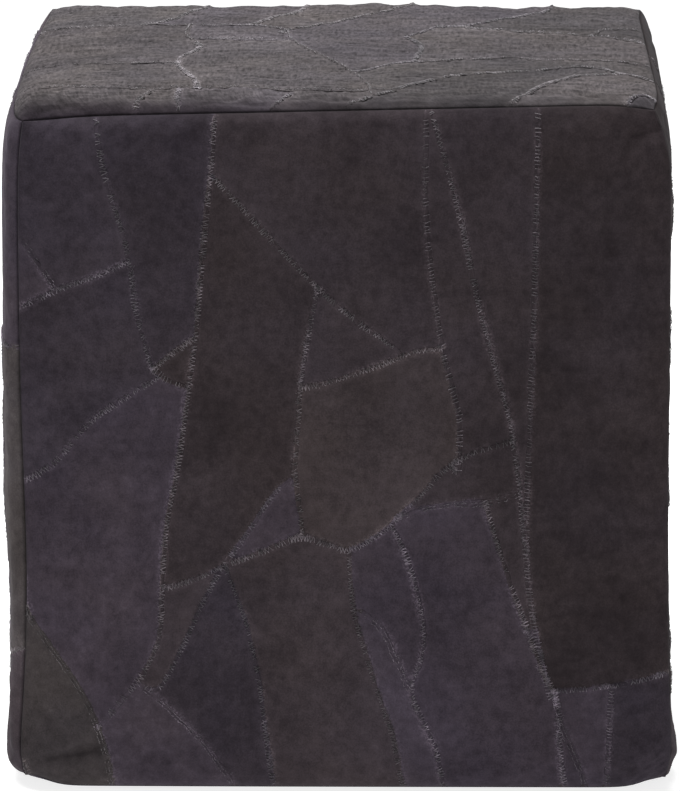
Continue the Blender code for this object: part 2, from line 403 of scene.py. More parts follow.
# Each seam is how it is sewn, how pale its thread and raw edge have become, which side laps over
# the other, and its points in millimetres, across and up from its panel's middle.
seams = {
    "front": [
        ("zigzag", 0.55, 1, (-160, 228, -153, 184, -141, 143, -137, 124, -131, 86, -123, 55)),
        ("zigzag", 0.6, -1, (-82, 228, -85, 183, -89, 149, -93, 99, -95, 77, -101, 32, -108, -15,
            -115, -52, -118, -93, -120, -126, -131, -150, -144, -167, -161, -186)),
        ("zigzag", 0.5, 1, (-84, 182, -60, 156, -16, 109, 12, 85, 38, 66)),
        ("ladder", 0.35, -1, (54, 228, 54, 155, 60, 99, 65, 67, 72, 38, 76, 18, 75, -15)),
        ("zigzag", 0.6, 1, (56, 228, 72, 173, 81, 136, 91, 89, 103, 45, 110, 18, 112, 5, 116, -23,
            119, -62)),
        ("ladder", 0.5, 1, (127, 228, 126, 166, 125, 99, 123, 32, 121, -36, 120, -54, 124, -103,
            137, -165)),
        ("zigzag", 0.55, -1, (92, -32, 103, -69, 112, -96, 122, -123, 132, -150, 140, -166,
            143, -204, 146, -228)),
        ("double", 0.4, 1, (140, -167, 148, -190, 158, -214, 161, -228)),
        ("zigzag", 0.5, 1, (137, -160, 175, -157, 213, -150)),
        ("ladder", 0.65, 1, (177, -157, 176, -185, 174, -228)),
        ("zigzag", 0.6, 1, (-27, 42, -1, 48, 34, 61, 47, 66, 65, 68)),
        ("zigzag", 0.5, -1, (-16, 108, -23, 72, -27, 45, -29, 15, -31, -15, -27, -46, -26, -57)),
        ("zigzag", 0.55, 1, (-117, -93, -92, -84, -78, -77, -53, -67, -27, -57, -8, -62, 6, -65,
            28, -52, 38, -42, 54, -26, 64, -14, 83, -2, 112, 7)),
        ("double", 0.5, 1, (38, -44, 54, -37, 77, -34, 93, -33, 116, -27)),
        ("zigzag", 0.45, -1, (-32, -17, -45, -29, -63, -56, -78, -77, -92, -103, -102, -126,
            -118, -157, -128, -160)),
        ("zigzag", 0.45, 1, (-75, -79, -66, -103, -60, -123, -53, -157, -50, -184, -44, -228)),
        ("double", 0.4, 1, (-130, -158, -115, -170, -92, -194, -75, -217, -70, -228)),
        ("zigzag", 0.4, 1, (5, -67, 8, -103, 18, -140, 26, -167, 34, -190, 41, -228)),
        ("zigzag", 0.55, -1, (32, -50, 41, -69, 49, -96, 53, -120, 51, -140, 45, -160, 54, -184,
            62, -203, 66, -228)),
        ("double", 0.35, 1, (12, -105, 21, -112, 29, -120, 38, -140, 46, -160)),
        ("zigzag", 0.55, 1, (-213, -27, -187, -9, -164, 18, -141, 35, -122, 47)),
        ("zigzag", 1.0, 1, (-123, 54, -109, 66, -95, 76)),
        ("ladder", 0.35, -1, (-123, 55, -113, 46, -101, 42)),
        ("zigzag", 0.65, 1, (-213, 90, -187, 104, -157, 116, -138, 125)),
        ("double", 0.35, -1, (-213, 142, -198, 122, -187, 105)),
        ("double", 0.35, 1, (-213, -103, -203, -116, -180, -147, -167, -167, -159, -185,
            -153, -207, -150, -228)),
        ("plain", 1.0, 1, (-209, -90, -208, -102, -203, -116)),
        ("plain", 0.95, 1, (-212, 219, -206, 219, -199, 216)),
        ("plain", 0.9, 1, (-209, -213, -207, -220, -204, -227)),
    ],
    "top": [
        ("zigzag", 0.51, 1, (-96, 210, -100, 164, -126, 90, -131, 80)),
        ("zigzag", 0.51, -1, (-27, 210, -34, 150, -69, 70)),
        ("double", 0.48, 1, (-213, 86, -150, 82, -100, 76, -60, 68, -38, 46)),
        ("zigzag", 0.36, 1, (47, 210, 43, 168, 8, 108, -38, 46, -44, 30)),
        ("zigzag", 0.38, 1, (146, 210, 138, 154, 90, 85, 64, 67, 41, 31)),
        ("double", 0.48, -1, (64, 74, 113, 58, 160, 44, 213, 31)),
        ("plain", 0.35, 1, (-105, 77, -107, 31, -101, 4)),
        ("zigzag", 0.78, 1, (-101, 4, -97, -30, -110, -81, -97, -145, -94, -176)),
        ("plain", 0.2, 1, (-213, -77, -160, -80, -110, -78)),
        ("plain", 0.37, -1, (-213, -172, -150, -176, -94, -172, -30, -178, 42, -176)),
        ("ladder", 0.77, 1, (-134, -212, -133, -197, -122, -174)),
        ("zigzag", 0.77, 1, (-104, -212, -107, -190, -106, -173)),
        ("zigzag", 0.44, -1, (-62, -212, -43, -199, -30, -178)),
        ("zigzag", 0.51, 1, (-3, -212, 5, -198, 21, -189, 47, -163, 65, -139, 105, -114, 160, -90,
            183, -110, 213, -133)),
        ("zigzag", 0.51, 1, (99, -212, 112, -197, 131, -165, 154, -131, 183, -110)),
        ("double", 0.37, 1, (165, 42, 182, 78, 213, 92)),
        ("zigzag", 0.44, -1, (8, -110, 47, -81, 106, -51, 133, -60, 213, -66)),
        ("zigzag", 0.77, 1, (183, -212, 185, -197, 199, -184, 213, -180)),
        ("plain", 0.14, 1, (-38, 46, -33, 0, -16, -50, 6, -108, 16, -150, 21, -189)),
        ("double", 0.34, -1, (-104, 10, -70, 2, -33, 0)),
        ("zigzag", 0.41, 1, (41, 31, 52, -10, 47, -81)),
    ],
    "left": [
        ("zigzag", 0.95, 1, (213, 64, 150, 66, 86, 52)),
        ("zigzag", 0.55, -1, (90, 228, 82, 140, 86, 52, 96, -40)),
        ("zigzag", 0.5, 1, (96, -40, 92, -90, 96, -146, 104, -228)),
        ("zigzag", 0.8, 1, (213, -128, 190, -142, 140, -136, 96, -146)),
        ("ladder", 0.5, 1, (152, 65, 160, 0, 150, -60, 146, -136)),
        ("zigzag", 0.6, 1, (-213, 110, -120, 96, -40, 70, 84, 92)),
        ("zigzag", 0.55, -1, (-40, 228, -46, 150, -40, 70, -52, -10, -70, -80)),
        ("double", 0.45, 1, (-213, -20, -140, -6, -52, -10)),
        ("zigzag", 0.6, 1, (-70, -80, 10, -70, 94, -60)),
        ("zigzag", 0.5, -1, (-70, -80, -82, -150, -76, -228)),
        ("ladder", 0.55, 1, (-213, -130, -150, -140, -80, -140)),
        ("zigzag", 0.45, 1, (20, -72, 14, -150, 22, -228)),
        ("double", 0.5, -1, (-130, 228, -126, 160, -120, 96)),
        ("zigzag", 0.6, 1, (22, 80, 32, 0, 24, -70)),
    ],
}

# where the fibres stand in pale tangles, across and up in millimetres
tangles = {
    "front": ((-89, 186), (-86, 178), (-92, 100), (-27, 45), (-16, 108), (119, -62), (124, -106),
        (122, -120), (126, -131), (131, -146), (136, -160), (76, -10), (65, 68), (-27, -57),
        (-117, -93), (-160, -186), (-187, 104), (140, -166), (173, -157), (38, -44), (-123, 52),
        (-205, -104), (208, -152)),
    "top": ((-98, -24), (-110, -80), (-94, -174), (-104, -205), (-134, -205), (199, -184),
        (183, -110)),
    "left": ((208, 64), (205, -130), (86, 52), (94, -60)),
}

patchwork = dict(
    sides=dict(right=15, back=17),  # how many offcuts, on the sides that have no list above
    kinds=("zigzag", "zigzag", "zigzag", "double", "ladder"),
    shine=(0.3, 0.75),
    offCentre=18,  # how far off an offcut's middle a cut may go, in millimetres
    slant=38,  # degrees
    bow=0.05,  # of a cut's length
    seed=11,
    splineSteps=12,
    spacing=1.3 * mm,  # between the points of a seam
    reach=13 * mm,  # a seam's end joins the next seam within this
    raster=1.5 * mm,
    seamSquares=6,  # how many squares wide a seam may be
)


def halfSize(name):
    # half a panel's size between its closed seams, across and up
    box = np.array((cover["width"], cover["depth"], cover["topSeam"] - cover["baseSeam"])) / 2
    return np.abs(facing[name][1:]) @ box


def splined(line, times):
    # times as many steps between the points, on a smooth spline
    line = np.concatenate([2 * line[:1] - line[1:2], line, 2 * line[-1:] - line[-2:-1]])
    a, b, c, d = line[:-3], line[1:-2], line[2:-1], line[3:]
    steps = []
    for t in np.arange(times) / times:
        steps.append(0.5 * (2 * b + (c - a) * t + (2 * a - 5 * b + 4 * c - d) * t**2
                            + (3 * b - a - 3 * c + d) * t**3))
    woven = np.stack(steps, axis=1).reshape((-1,) + line.shape[1:])
    return np.concatenate([woven, line[-2:-1]])


def finer(points, times):
    # rows and columns of points, splined both ways
    return np.swapaxes(splined(np.swapaxes(splined(points, times), 0, 1), times), 0, 1)


def evenly(line, spacing):
    lengths = np.concatenate([[0], np.cumsum(np.linalg.norm(np.diff(line, axis=0), axis=1))])
    at = np.linspace(0, lengths[-1], max(2, int(lengths[-1] / spacing) + 1))
    return np.stack([np.interp(at, lengths, line[:, k]) for k in range(line.shape[1])], 1)


def areaOf(shape):
    x, y = np.transpose(shape)
    return abs((x * np.roll(y, -1) - y * np.roll(x, -1)).sum()) / 2


def cutOffcuts(across, up, count, dice):
    # the largest offcut is cut in two until there are enough, as crazy patchwork is laid out
    offcuts = [[(-across, -up), (across, -up), (across, up), (-across, up)]]
    cuts = []
    off, slant, most = patchwork["offCentre"], patchwork["slant"], patchwork["bow"]
    while len(offcuts) < count:
        offcuts.sort(key=areaOf)
        shape = offcuts.pop()
        centre = np.mean(shape, axis=0) + [dice.uniform(-off, off), dice.uniform(-off, off)]
        wide, tall = np.ptp(np.array(shape), axis=0)
        turn = math.radians((0 if tall > wide else 90) + dice.uniform(-slant, slant))
        normal = np.array((-math.sin(turn), math.cos(turn)))
        halves, ends = ([], []), []
        for here, there in zip(shape, shape[1:] + shape[:1]):
            sideHere, sideThere = (np.dot(np.subtract(spot, centre), normal) for spot in (here, there))
            halves[sideHere > 0].append(here)
            if (sideHere > 0) != (sideThere > 0):
                step = np.subtract(there, here) * sideHere / (sideHere - sideThere)
                meet = tuple(here + step)
                ends.append(meet)
                halves[0].append(meet)
                halves[1].append(meet)
        offcuts += halves
        start, end = np.array(ends)
        run = end - start
        bow = normal * dice.uniform(-most, most) * np.linalg.norm(run)
        cuts.append([start, start + run * 0.3 + bow, start + run * 0.7 + bow * 0.6, end])
    return cuts


def seamsOf(name):
    # each seam of a panel, with its points in millimetres
    rows = seams.get(name, [])
    if name in patchwork["sides"]:
        dice = random.Random(patchwork["seed"] + list(facing).index(name))
        kinds, shine = patchwork["kinds"], patchwork["shine"]
        cuts = cutOffcuts(*halfSize(name) / mm, patchwork["sides"][name], dice)
        rows = [(dice.choice(kinds), dice.uniform(*shine), dice.choice((-1, 1)), cut) for cut in cuts]
    return [dict(kind=kind, shine=shine, lap=lap, path=np.reshape(path, (-1, 2)))
            for kind, shine, lap, path in rows]


def sewLines(rows):
    # the seams as even lines in metres, with their ends carried to the next seam
    spacing = patchwork["spacing"]
    lines = [evenly(splined(row["path"] * mm, patchwork["splineSteps"]), spacing) for row in rows]
    joined = []
    for number, line in enumerate(lines):
        others = np.concatenate(lines[:number] + lines[number + 1:])
        for end in (0, -1):
            away = np.linalg.norm(others - line[end], axis=1)
            if spacing < away.min() < patchwork["reach"]:
                steps = max(2, int(away.min() / spacing))
                step = others[away.argmin()] - line[end]
                bridge = line[end] + np.linspace(0, 1, steps + 1)[1:, None] * step
                line = np.concatenate([line, bridge] if end else [bridge[::-1], line])
        joined.append(line)
    return joined


def findOffcuts(lines, halfAcross, halfUp):
    # the panel as small squares, each with its offcut's number
    cell = patchwork["raster"]
    low = np.array((-halfAcross, -halfUp))
    tall, wide = int(2 * halfUp / cell) + 1, int(2 * halfAcross / cell) + 1
    framed = np.full((tall + 2, wide + 2), -1)
    numbers = framed[1:-1, 1:-1]
    numbers[:] = 0
    for line in lines:
        column, row = np.rint((line - low) / cell).astype(int).T
        for dx, dy in np.ndindex(3, 3):
            numbers[np.clip(row + dy - 1, 0, tall - 1), np.clip(column + dx - 1, 0, wide - 1)] = -1
    flat = framed.ravel()
    count = 0
    for seed in range(len(flat)):
        if flat[seed]:
            continue
        count += 1
        flat[seed] = count
        edge = [seed]
        while edge:
            here = edge.pop()
            for there in (here - 1, here + 1, here - wide - 2, here + wide + 2):
                if flat[there] == 0:
                    flat[there] = count
                    edge.append(there)
    # the squares along the seams go to the nearest offcut
    for _ in range(patchwork["seamSquares"]):
        for step, axis in ((1, 0), (-1, 0), (1, 1), (-1, 1)):
            shifted = np.roll(numbers, step, axis)
            numbers = np.where((numbers < 0) & (shifted > 0), shifted, numbers)
    return dict(numbers=np.maximum(numbers, 1), low=low, count=count)


def offcutAt(offcuts, across, up):
    numbers = offcuts["numbers"]
    column, row = (np.rint((place - low) / patchwork["raster"]).astype(int)
                   for place, low in zip((across, up), offcuts["low"]))
    return numbers[np.clip(row, 0, numbers.shape[0] - 1), np.clip(column, 0, numbers.shape[1] - 1)]


# the panels of the cover

relief = dict(
    tuck=0.6 * mm,  # how far the closed seams draw the panels' edges in
    tuckReach=0.7 * mm,
    quietEdge=3.0 * mm,  # nearer to a closed seam than this, the rest fades out
    ridge=0.26 * mm,  # the seam allowances under the lapped seams
    ridgeReach=2.8 * mm,
    pucker=0.18 * mm,
    puckerLength=7.5 * mm,
    puckerReach=5.5 * mm,
    puckerDrift=2.5,  # how unevenly the puckers follow each other
    level=0.22 * mm,  # how much higher or lower an offcut may lie than the next
    levelReach=7 * mm,  # it runs out towards the seams
    wornReach=2.6 * mm,
    # pale and nearly lost stretches of a seam take turns: length, step between seams, and depth
    fading=((38 * mm, 5.3, 0.85), (11 * mm, 7.3, 0.65)),
    fadingLimits=(0.12, 1.9),
    backing=70 * mm,  # how deep each panel's filling goes
    edgeShade=0.50,  # painted shade: how much darker the suede is painted down in the closed seams
    edgeReach=1.0 * mm,
    headShade=0.22,  # painted shade under the top seams, on the upper edges of the other panels
    headReach=7 * mm,
    # and painted shade where the seat rolls over its front edge, most at its left end
    rollShade=(0.40, 0.46, 0.36),
    rollReach=11 * mm,
    rollWidth=0.30,
    rollBrushed=0.8,  # how much of the streaks the roll loses
    seed=23,
)

# how the suede lies: across and up lengths of each unevenness, its height, and how sharp it is
rumples = dict(
    front=((34, 34, 0.40, 0), (11, 13, 0.12, 0), (24, 8, 0.08, 1)),
    right=((34, 38, 0.45, 0), (12, 14, 0.12, 0), (20, 9, 0.10, 1)),
    left=((34, 38, 0.45, 0), (12, 14, 0.12, 0), (20, 9, 0.10, 1)),
    back=((34, 34, 0.45, 0), (11, 13, 0.12, 0), (24, 8, 0.10, 1)),
    top=((60, 22, 0.60, 0), (46, 6.5, 0.65, 1), (21, 4.0, 0.50, 1), (9, 6, 0.22, 0)),
    base=(),
)

# soft troughs and ridges, each listed as start, end, width and height in millimetres
creases = {
    "front": (
        (190, 206, 206, 210, 3.5, -2.0), (-192, -208, -160, -200, 3.4, -3.2),
        (-188, -215, -156, -207, 3.5, 1.0), (-204, -216, -176, -200, 3.5, 0.9),
        (176, -214, 206, -196, 4.0, 1.2), (184, -218, 210, -207, 3.0, -1.0),
        (196, -180, 209, -204, 3.0, -0.8), (190, -216, 211, -204, 1.8, 1.0),
        (194, -222, 212, -211, 1.6, -1.1), (200, -226, 213, -217, 1.5, 0.9),
        (-150, 205, -100, 196, 6.0, -0.6), (-40, -205, 20, -212, 6.0, -0.5),
        (60, -206, 120, -198, 6.0, 0.5), (150, 60, 205, 30, 7.0, -0.5),
    ),
    "right": (
        (-205, -206, -150, -220, 4.0, 1.3), (-204, -180, -178, -221, 3.5, -1.2),
        (-206, -190, -192, -205, 1.6, 1.2), (-206, -197, -188, -212, 1.5, -1.3),
        (-206, -204, -190, -219, 1.5, 1.2), (-206, -212, -196, -224, 1.5, -1.2),
        (-206, 190, -160, 212, 4.5, -1.0), (205, 190, 150, 214, 5.0, -1.0),
        (-120, -60, -40, -95, 9.0, -0.6), (40, 90, 130, 60, 8.0, 0.6),
    ),
    "left": (
        (206, -214, 160, -192, 4.5, -1.3), (205, -190, 188, -160, 3.5, 0.8),
        (-205, 190, -150, 213, 5.0, -1.0), (30, 40, 120, 10, 8.0, -0.6),
        (-140, -80, -60, -60, 9.0, 0.6),
    ),
    "back": (
        (-204, -212, -150, -190, 4.5, -1.3), (204, 198, 150, 213, 4.5, -1.1),
        (-60, 30, 50, 60, 9.0, 0.6), (90, -150, 160, -120, 8.0, -0.7),
    ),
    "top": (
        (-205, -77, -110, -79, 3.0, -0.8), (-205, -168, -94, -168, 3.0, 0.8),
        (-94, -168, 45, -172, 3.0, 0.5), (118, -40, 160, -52, 4.0, -1.0),
        (20, -38, 64, -30, 4.0, -1.0), (-180, -130, -120, -124, 4.0, -0.7),
        (80, 120, 150, 112, 5.0, -0.8), (-180, 150, -130, 140, 5.0, 0.7),
        (70, -10, 150, 10, 5.0, 0.7), (-20, 110, 30, 125, 5.0, -0.8),
        (60, -186, 160, -182, 4.0, -0.6),
    ),
    "base": (),
}

suede = dict(
    # the dye of the offcuts, as linear colours
    dyes=dict(
        plum=(0.0490, 0.0392, 0.0502),
        lilac=(0.0545, 0.0438, 0.0556),
        brown=(0.0428, 0.0340, 0.0386),
        umber=(0.0362, 0.0284, 0.0310),
        olive=(0.0470, 0.0400, 0.0408),
        ash=(0.0472, 0.0372, 0.0393),
        slate=(0.0405, 0.0330, 0.0414),
        haze=(0.0463, 0.0366, 0.0410),
        dust=(0.0425, 0.0340, 0.0358),
        # painted shade: the darkest colour, used only at the top of the right panel
        paintedShade=(0.0250, 0.0200, 0.0210),
    ),
    variation=0.05,  # how far an offcut strays from its dye
    # painted light: the seat and the sides are painted paler than the front, for the light and sheen
    # that fall on them
    faded=dict(top=(1.11, 1.25, 1.22), left=(1.30, 1.31, 1.30), right=(1.10, 1.10, 1.08)),
    # the dyes that are drawn by lot
    drawn=("plum", "brown", "umber", "slate", "olive", "ash"),
    drawnOnTop=("ash", "ash", "dust"),
    # where an offcut has a dye chosen for it: across and up in millimetres
    placed={
        "front": dict(
            slate=((-185, 180), (-115, 180), (-180, 30), (-90, -150), (195, -195)),
            brown=((-10, 190), (10, 60), (85, 20), (105, 40), (83, -15)),
            umber=((-60, 100), (165, 60), (-112, 55)),
            ash=((20, 20),),
            plum=((-140, -60), (90, -150), (160, -190), (150, -212), (38, -90)),
            olive=((-190, -180),),
            lilac=((-110, -210), (20, -120), (-203, 112)),
            haze=((-20, -190),),
        ),
        "top": dict(
            haze=((-60, 20), (60, 140), (-60, 130), (-80, -193)),
            ash=((140, 0), (-160, 0), (-160, -130), (0, -120), (150, -180), (-170, -195),
                (-20, -193), (-120, -193)),
            dust=((-160, 150), (60, -190)),
            brown=((190, -195),),
        ),
        "left": dict(plum=((190, 205),), olive=((190, -30),), brown=((190, -180),)),
        # painted shade at the top of the right panel, away from the light
        "right": dict(paintedShade=((-190, 200), (-100, 208), (0, 208))),
    },
    # the dyes also drift between these two, whatever the offcuts
    warmDrift=(1.01, 1.00, 0.97, 1),
    coolDrift=(0.99, 1.00, 1.04, 1),
    # noise: its scale, detail and roughness, the range it is read over, and what that becomes
    clouds=(16, 5, 0.62, 0.3, 0.7, 0.75, 1.25),
    brushing=(150, 3, 0.6, 0.3, 0.7, 0.80, 1.20),
    nap=(950, 2, 0.6, 0.25, 0.75, 0.78, 1.22),
    drift=(13, 3, 0.6, 0.35, 0.65, 0.0, 1.0),
    tufts=(640, 3, 0.7, 0.46, 0.64, 0.12, 1.0),
    wornBrightness=3.8,  # how much paler than its dye the suede is where it is rubbed through
    # the seat's fine bands: metres across and along, then as above
    streaks=((0.050, 0.005, 1, 5, 0.7, 0.28, 0.72, -0.75, 0.75),
             (0.0022, 0.008, 1, 2, 0.7, 0.28, 0.72, -0.95, 0.95)),
    # how strong the bands are
    brushed=0.05,
    brushedOnTop=0.50,
    grain=(1500, 2, 0.6),
    grainShare=0.35,
    wrinkle=(320, 4, 0.65),
    bump={"Distance": 0.35 * mm, "Strength": 0.6},
    finish={"Roughness": 0.94, "Specular IOR Level": 0.04, "Sheen Weight": 0.03,
            "Sheen Roughness": 0.42, "Sheen Tint": (0.93, 0.90, 0.95, 1)},
)


def offcutTones(name, offcuts, seed):
    # a dye for each offcut, chosen where it is placed above
    dice = random.Random(seed)
    dyes = suede["dyes"]
    drawn = suede["drawnOnTop" if name == "top" else "drawn"]
    tones = np.array([dyes[dice.choice(drawn)] for _ in range(offcuts["count"] + 1)])
    for dye, spots in suede["placed"].get(name, {}).items():
        for spot in spots:
            tones[offcutAt(offcuts, *np.array(spot) * mm)] = dyes[dye]
    stray = np.array([[dice.gauss(0, suede["variation"])] * 3 for _ in tones])
    # each panel's painted light is multiplied in with the dyes here
    return tones * (1 + stray) * suede["faded"].get(name, 1.0)


def noiseField(a, b, seed):
    # smooth noise from -1 to 1 over a lattice of unit squares
    lattice = np.random.default_rng(seed).uniform(-1, 1, (97, 97))
    a, b = a + 40.0, b + 40.0
    i, j = np.floor(a).astype(int), np.floor(b).astype(int)
    s, t = a - i, b - j
    s, t = s * s * (3 - 2 * s), t * t * (3 - 2 * t)
    corner = [lattice[(j + dj) % 97, (i + di) % 97] for dj in (0, 1) for di in (0, 1)]
    return (corner[0] * (1 - s) + corner[1] * s) * (1 - t) + (corner[2] * (1 - s) + corner[3] * s) * t


def gaps(points, axis):
    # the length run along rows or columns, from each end
    steps = np.linalg.norm(np.diff(points, axis=axis), axis=2)
    run = np.concatenate([np.zeros_like(np.take(steps, [0], axis)), np.cumsum(steps, axis)], axis)
    return run, np.take(run, [-1], axis) - run


def fromLine(across, up, start, end):
    # the distance to the nearest point of a straight stretch
    span = np.subtract(end, start)
    share = ((across - start[0]) * span[0] + (up - start[1]) * span[1]) / (span @ span)
    share = np.clip(share, 0, 1)
    return np.hypot(across - start[0] - share * span[0], up - start[1] - share * span[1])


def fading(along, whose):
    pale = 1.0
    for number, (length, step, depth) in enumerate(relief["fading"]):
        pale = pale + depth * noiseField(along / length, whose * step + 0.5, relief["seed"] + number)
    return np.clip(pale, *relief["fadingLimits"])


def rumpled(name, across, up, seed):
    height = np.zeros(across.shape)
    for number, (lengthAcross, lengthUp, rise, sharp) in enumerate(rumples[name]):
        field = noiseField(across / (lengthAcross * mm), up / (lengthUp * mm), seed + number)
        if sharp:
            field = 0.4 - 1.4 * (1 - np.minimum(1, np.abs(field) * 2.2)) ** 2
        height += rise * mm * field
    for *ends, width, rise in creases[name]:
        height += rise * mm * near(fromLine(across / mm, up / mm, ends[:2], ends[2:]), width)
    return height


def alongSeams(rows, lines, across, up, seed):
    # how the nearest seam lifts and rubs the suede at each point, and how far off it is
    tree = pointTree([(a, u, 0) for line in lines for a, u in line])
    found = [tree.find((a, u, 0))[1:] for a, u in zip(across.ravel(), up.ravel())]
    nearest, toSeam = (np.array(values).reshape(across.shape) for values in zip(*found))
    whose = np.concatenate([[number] * len(line) for number, line in enumerate(lines)])[nearest]
    along = np.concatenate([np.arange(len(line)) for line in lines])[nearest] * patchwork["spacing"]
    shine = np.array([row["shine"] for row in rows])[whose]
    drift = relief["puckerDrift"] * noiseField(along / (16 * mm), whose * 3.1, seed + 5)
    wave = np.sin(along / relief["puckerLength"] * 2 * math.pi + whose * 1.7 + drift)
    ridge = relief["ridge"] * near(toSeam, relief["ridgeReach"])
    pucker = relief["pucker"] * wave * near(toSeam, relief["puckerReach"])
    worn = shine * fading(along, whose) * near(toSeam, relief["wornReach"])
    return ridge, pucker, worn, toSeam


def shapePanel(name, rows):
    # the finished surface of a panel, with what its material needs to know at each point
    out, acrossWay, upWay = facing[name]
    points = finer(surface[rows], weave["finer"][name])
    across, up = (points - middle) @ acrossWay, (points - middle) @ upWay
    (left, right), (foot, head) = gaps(points, 1), gaps(points, 0)
    toEdge = np.min((left, right, foot, head), axis=0)
    normal = np.cross(np.gradient(points, axis=1), np.gradient(points, axis=0))
    normal /= np.maximum(np.linalg.norm(normal, axis=2, keepdims=True), 1e-12)
    seed = relief["seed"] + 10 * list(facing).index(name)
    seamRows = seamsOf(name)
    lines = sewLines(seamRows)
    offcuts = findOffcuts(lines, *halfSize(name))
    offcut = offcutAt(offcuts, across, up)

    height = rumpled(name, across, up, seed)
    worn, toSeam = np.zeros(across.shape), 1.0
    if lines:
        ridge, pucker, worn, toSeam = alongSeams(seamRows, lines, across, up, seed)
        height += ridge
        height += pucker
    level = np.random.default_rng(seed + 7).uniform(-1, 1, offcuts["count"] + 1)[offcut]
    height += relief["level"] * level * (1 - near(toSeam, relief["levelReach"]))
    height *= 1 - near(toEdge, relief["quietEdge"])
    inward = out + np.zeros(points.shape)
    for gap, way in ((left, -acrossWay), (right, acrossWay), (foot, -upWay), (head, upWay)):
        inward = inward + near(gap, relief["tuckReach"])[:, :, None] * way
    inward /= np.linalg.norm(inward, axis=2, keepdims=True)
    tuck = relief["tuck"] * near(toEdge, relief["tuckReach"])
    points = points + height[:, :, None] * normal - tuck[:, :, None] * inward
    points[:, :, 2] = np.maximum(points[:, :, 2], 0.0)

    tones = offcutTones(name, offcuts, seed)
    # painted shade, darkest down in the closed seams
    shade = (1 - relief["edgeShade"] * near(toEdge, relief["edgeReach"]))[:, :, None]
    brushed = np.full(across.shape, suede["brushed"])
    if name == "top":
        rolled = near(foot, relief["rollReach"])
        brushed = suede["brushedOnTop"] * (1 - relief["rollBrushed"] * rolled)
        # painted shade where the seat rolls over its front edge, most at its left end
        rolled = (rolled * np.clip(0.5 - across / relief["rollWidth"], 0.0, 1.0))[:, :, None]
        shade = shade * (1 - np.array(relief["rollShade"]) * rolled)
    else:
        # painted shade under the top seams
        shade = shade * (1 - relief["headShade"] * near(head, relief["headReach"])[:, :, None])
    # the tone at each point is its offcut's dye with the painted light and the painted shade
    return dict(name=name, points=points, cloth=np.stack((left, foot), 2), worn=worn, brushed=brushed,
                toneAndPaintedLight=tones[offcut] * shade, tones=tones, offcuts=offcuts, seamRows=seamRows,
                lines=lines)


def addAttribute(mesh, key, values):
    # a number or a colour at each point
    if values.ndim == 2:
        values = np.append(values, np.ones((len(values), 1)), 1)
        mesh.attributes.new(key, "FLOAT_COLOR", "POINT").data.foreach_set("color", values.ravel())
    else:
        mesh.attributes.new(key, "FLOAT", "POINT").data.foreach_set("value", values)


def makePanel(panel, material):
    name, points = panel["name"], panel["points"]
    cells = len(points) - 1
    form = bmesh.new()
    bmesh.ops.create_grid(form, x_segments=cells, y_segments=cells, size=1)
    rim = [edge for edge in form.edges if edge.is_boundary]
    turned = bmesh.ops.extrude_edge_only(form, edges=rim)["geom"]
    back = [item for item in turned if isinstance(item, bmesh.types.BMVert)]
    bmesh.ops.pointmerge(form, verts=back, merge_co=(0, 0, -1))
    mesh = meshOf(form, name + "Cover")
    # the points of the grid come first, and the pole behind them is the last
    column, row = np.rint((coordinates(mesh)[:-1, :2] + 1) / 2 * cells).astype(int).T
    rims = (points[0], points[-1], points[:, 0], points[:, -1])
    pole = sum(rim.mean(0) for rim in rims) / 4 - facing[name][0] * relief["backing"]
    place = np.append(points[row, column], [pole], 0)
    mesh.vertices.foreach_set("co", place.ravel())
    for key, atPole in (("toneAndPaintedLight", suede["dyes"]["brown"]), ("worn", 0), ("brushed", 0)):
        addAttribute(mesh, key, np.append(panel[key][row, column], [atPole], 0))
    corner = np.empty(len(mesh.loops), np.int32)
    mesh.loops.foreach_get("vertex_index", corner)
    flat = np.append(panel["cloth"][row, column], [(0, 0)], 0)
    mesh.uv_layers.new(name="cloth").data.foreach_set("uv", flat[corner].ravel())
    return finished(mesh, material)


def finished(mesh, material):
    mesh.materials.clear()
    mesh.materials.append(material)
    mesh.shade_smooth()
    mesh.update()
    return addObject(mesh.name, mesh)


# materials

def spread(tree, value, low, high, toLow, toHigh):
    return addNode(tree, "MapRange", {"Value": value, "From Min": low, "From Max": high,
                                      "To Min": toLow, "To Max": toHigh})


def noisy(tree, where, scale, detail, roughness, *ranges):
    # noise, spread over another range where one is given
    noise = addNode(tree, "TexNoise", {"Vector": where, "Scale": scale, "Detail": detail,
                                       "Roughness": roughness})
    return spread(tree, noise, *ranges) if ranges else noise


def times(tree, product, *others):
    for value in others:
        product = addNode(tree, "Math", {0: product, 1: value}, operation="MULTIPLY")
    return product


def plus(tree, a, b):
    return addNode(tree, "Math", {0: a, 1: b}, operation="ADD")


def shaded(tree, colour, brightness):
    return addNode(tree, "VectorMath", {0: colour, "Scale": brightness}, operation="SCALE")


def mixed(tree, share, a, b):
    return addNode(tree, "Mix", {0: share, 6: a, 7: b}, 2, data_type="RGBA")


def attribute(tree, key, output="Fac"):
    return addNode(tree, "Attribute", {}, output, attribute_name=key)


def streaks(tree):
    # the nap of the seat lies in fine bands from side to side
    cloth = addNode(tree, "UVMap", {}, uv_map="cloth")
    layers = []
    for across, along, *noise in suede["streaks"]:
        scale = (1 / across, 1 / along, 1)
        stretched = addNode(tree, "Mapping", {"Scale": scale, "Vector": cloth})
        layers.append(noisy(tree, stretched, *noise))
    return plus(tree, 1.0, times(tree, plus(tree, *layers), attribute(tree, "brushed")))


